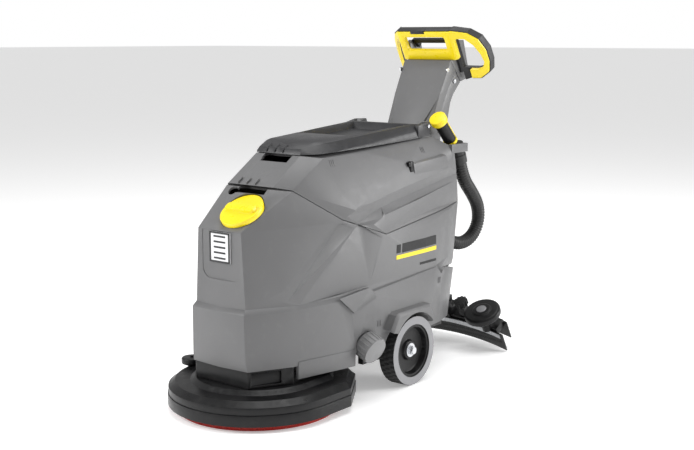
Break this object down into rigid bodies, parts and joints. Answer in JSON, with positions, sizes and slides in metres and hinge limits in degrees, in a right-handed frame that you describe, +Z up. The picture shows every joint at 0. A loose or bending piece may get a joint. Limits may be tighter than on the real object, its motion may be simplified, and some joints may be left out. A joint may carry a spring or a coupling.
{
  "type": "walk-behind floor scrubber",
  "caption": "Walk-behind disc floor scrubber with two stacked gray tanks, a round brush deck, two wheels, a steering loop handle and a parked squeegee at the rear.",
  "frame": {"origin": "on the floor, under the middle of the machine's length and width", "axes": "+Z up; the front with the brush deck faces -Y and the operator stands at +Y; the side with the filter knob is +X"},
  "size_m": [0.504, 1.2016, 1.0133],
  "materials": {
    "gray_shell": "fine-grained satin plastic",
    "dark_shell": "satin plastic",
    "black_plastic": "satin plastic",
    "yellow_plastic": "smooth plastic",
    "soft_grip": "soft matt rubber",
    "rubber": "matt rubber",
    "tyre": "rubber with pale sidewalls",
    "red_pad": "non-woven scouring pad",
    "painted_steel": "black powder coat",
    "bright_steel": "zinc plated",
    "battery_case": "matt plastic",
    "badge": "brushed plate"
  },
  "bodies": {
    "chassis": {"chassis_frame": "painted_steel", "fresh_tank": "gray_shell", "splash_skirt": "black_plastic", "brush_deck": "black_plastic", "deck_turret": "black_plastic", "brush_motor": "painted_steel", "motor_gearbox": "painted_steel", "axle": "bright_steel", "wheel_bolts": "bright_steel", "batteries": "battery_case", "battery_leads": "rubber", "suction_turbine": "black_plastic", "water_feed": "black_plastic", "column_front_shell": "gray_shell", "column_rear_shell": "gray_shell", "column_post": "painted_steel", "column_screws": "bright_steel", "handle_head": "gray_shell", "handle_ring": "yellow_plastic", "handle_grip": "soft_grip", "control_panel": "black_plastic", "badge_plate": "badge", "tank_hinge_pins": "bright_steel", "filler_strainer": "black_plastic"},
    "dirty_tank": {"recovery_tank": "gray_shell", "accessory_rails": "gray_shell", "lid_pins": "bright_steel", "float_cage": "black_plastic", "drain_hose": "rubber", "hose_cuffs": "rubber", "drain_nozzle": "black_plastic", "cap_strap": "yellow_plastic"},
    "lid": {"tank_lid": "dark_shell"},
    "brush": {"drive_hub": "black_plastic", "pad_driver": "black_plastic", "cleaning_pad": "red_pad", "pad_lock": "black_plastic"},
    "right_wheel": {"right_rim": "black_plastic", "right_tyre": "tyre"},
    "left_wheel": {"left_rim": "black_plastic", "left_tyre": "tyre"},
    "squeegee": {"squeegee_body": "black_plastic", "suction_port": "black_plastic", "front_blade": "rubber", "rear_blade": "rubber", "blade_clamps": "bright_steel"},
    "right_guide": {"right_roller": "black_plastic"},
    "left_guide": {"left_roller": "black_plastic"},
    "right_knob": {"right_star_knob": "black_plastic"},
    "left_knob": {"left_star_knob": "black_plastic"},
    "pedal": {"lift_lever": "black_plastic"},
    "filler": {"filler_cap": "yellow_plastic"},
    "filter": {"filter_knob": "gray_shell"},
    "cap": {"drain_cap": "yellow_plastic"},
    "bail": {"switch_lever": "black_plastic"},
    "selector": {"rotary_switch": "black_plastic"},
    "button": {"push_button": "yellow_plastic"},
    "float": {"float_ball": "yellow_plastic"},
    "fan": {"fan_impeller": "black_plastic"},
    "guard": {"deck_roller": "black_plastic"}
  },
  "joints": [
    {"name": "right_wheel_spin", "type": "hinge", "parent": "chassis", "child": "right_wheel", "pos_m": [0.2, 0.0492, 0.1], "axis": [1, 0, 0], "continuous": true},
    {"name": "left_wheel_spin", "type": "hinge", "parent": "chassis", "child": "left_wheel", "pos_m": [-0.2, 0.0492, 0.1], "axis": [1, 0, 0], "continuous": true},
    {"name": "brush_spin", "type": "hinge", "parent": "chassis", "child": "brush", "pos_m": [0, -0.3608, 0.04], "axis": [0, 0, 1], "continuous": true},
    {"name": "squeegee_lift", "type": "hinge", "parent": "chassis", "child": "squeegee", "pos_m": [0, 0.4752, 0.15], "axis": [1, 0, 0], "range_deg": [-29, 0]},
    {"name": "pedal_press", "type": "hinge", "parent": "chassis", "child": "pedal", "pos_m": [-0.02, 0.4132, 0.166], "axis": [1, 0, 0], "range_deg": [-17.4, 0]},
    {"name": "right_guide_spin", "type": "hinge", "parent": "squeegee", "child": "right_guide", "pos_m": [0.19, 0.46923, 0.12597], "axis": [0, -0.4909, 0.8712], "continuous": true},
    {"name": "left_guide_spin", "type": "hinge", "parent": "squeegee", "child": "left_guide", "pos_m": [-0.19, 0.46923, 0.12597], "axis": [0, -0.4909, 0.8712], "continuous": true},
    {"name": "right_knob_turn", "type": "hinge", "parent": "squeegee", "child": "right_knob", "pos_m": [0.085, 0.50898, 0.1369], "axis": [0, -0.4909, 0.8712], "range_deg": [0, 360]},
    {"name": "left_knob_turn", "type": "hinge", "parent": "squeegee", "child": "left_knob", "pos_m": [-0.085, 0.50898, 0.1369], "axis": [0, -0.4909, 0.8712], "range_deg": [0, 360]},
    {"name": "dirty_tank_tip", "type": "hinge", "parent": "chassis", "child": "dirty_tank", "pos_m": [0, 0.3652, 0.496], "axis": [-1, 0, 0], "range_deg": [0, 9]},
    {"name": "lid_open", "type": "hinge", "parent": "dirty_tank", "child": "lid", "pos_m": [0, 0.2392, 0.722], "axis": [1, 0, 0], "range_deg": [-80, 0]},
    {"name": "filler_cap_turn", "type": "hinge", "parent": "chassis", "child": "filler", "pos_m": [0.032, -0.4438, 0.541], "axis": [0, -0.5299, 0.848], "range_deg": [0, 90]},
    {"name": "filter_knob_turn", "type": "hinge", "parent": "chassis", "child": "filter", "pos_m": [0.235, -0.1458, 0.141], "axis": [0.9132, -0.0702, -0.4014], "range_deg": [0, 360]},
    {"name": "drain_cap_pull", "type": "slide", "parent": "dirty_tank", "child": "cap", "axis": [0, -0.7025, 0.7117], "range_m": [0, 0.03]},
    {"name": "switch_lever_squeeze", "type": "hinge", "parent": "chassis", "child": "bail", "pos_m": [0, 0.47523, 0.95698], "axis": [1, 0, 0], "range_deg": [0, 9], "stiffness_Nm_per_rad": 1.2},
    {"name": "selector_turn", "type": "hinge", "parent": "chassis", "child": "selector", "pos_m": [0.036, 0.49525, 0.91075], "axis": [0, 0.4294, 0.9031], "range_deg": [-60, 60]},
    {"name": "button_press", "type": "slide", "parent": "chassis", "child": "button", "axis": [0, -0.4294, -0.9031], "range_m": [0, 0.003], "stiffness_N_per_m": 400},
    {"name": "float_rise", "type": "slide", "parent": "dirty_tank", "child": "float", "axis": [0, 0, 1], "range_m": [0, 0.018]},
    {"name": "fan_spin", "type": "hinge", "parent": "chassis", "child": "fan", "pos_m": [0, 0.1892, 0.21], "axis": [0, 0, 1], "continuous": true},
    {"name": "guard_roller_spin", "type": "hinge", "parent": "chassis", "child": "guard", "pos_m": [-0.221, -0.3908, 0.09], "axis": [0, 0, 1], "continuous": true}
  ],
  "couplings": [
    {"joint": "pedal_press", "follows": "squeegee_lift", "ratio": 0.6}
  ]
}
